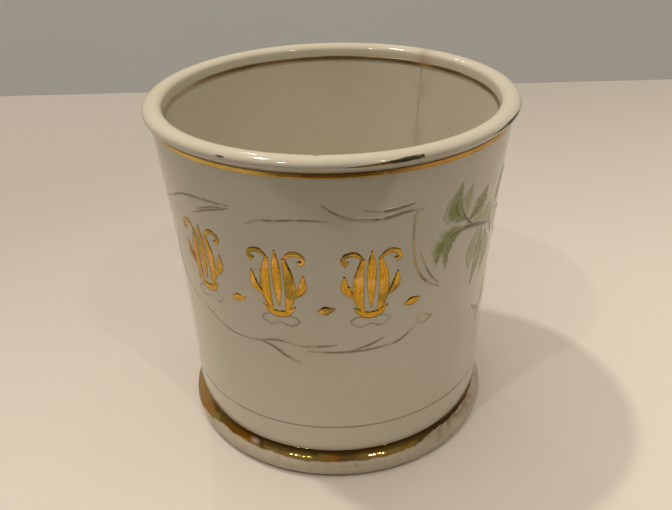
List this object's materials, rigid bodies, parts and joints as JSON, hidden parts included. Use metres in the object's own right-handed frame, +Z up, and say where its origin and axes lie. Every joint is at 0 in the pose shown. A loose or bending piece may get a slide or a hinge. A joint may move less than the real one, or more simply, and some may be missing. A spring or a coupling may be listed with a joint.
{
  "type": "shaving mug",
  "caption": "Straight-sided porcelain shaving mug with a rolled lip, a flared gilt foot, gilt rings and an ear-shaped handle.",
  "frame": {"origin": "on the mug's axis, at the centre of the glazed underside, 1.5 mm above the table that the foot stands on", "axes": "+Z up through the mouth; +Y from the axis towards the handle, so the decorated front faces -Y; +X to the right of someone who faces the front"},
  "size_m": [0.094, 0.1202, 0.0916],
  "materials": {
    "porcelain": "gloss",
    "slip": "gloss",
    "bright_gilt": "polished",
    "worn_gilt": "satin"
  },
  "bodies": {
    "root": {"mug_body": "porcelain", "handle": "porcelain", "upper_slip_joint": "slip", "lower_slip_joint": "slip", "lip_gilt_line": "worn_gilt", "rim_gilt_line": "bright_gilt", "foot_gilt_hairline": "worn_gilt", "foot_gilt_band": "bright_gilt"}
  },
  "joints": []
}
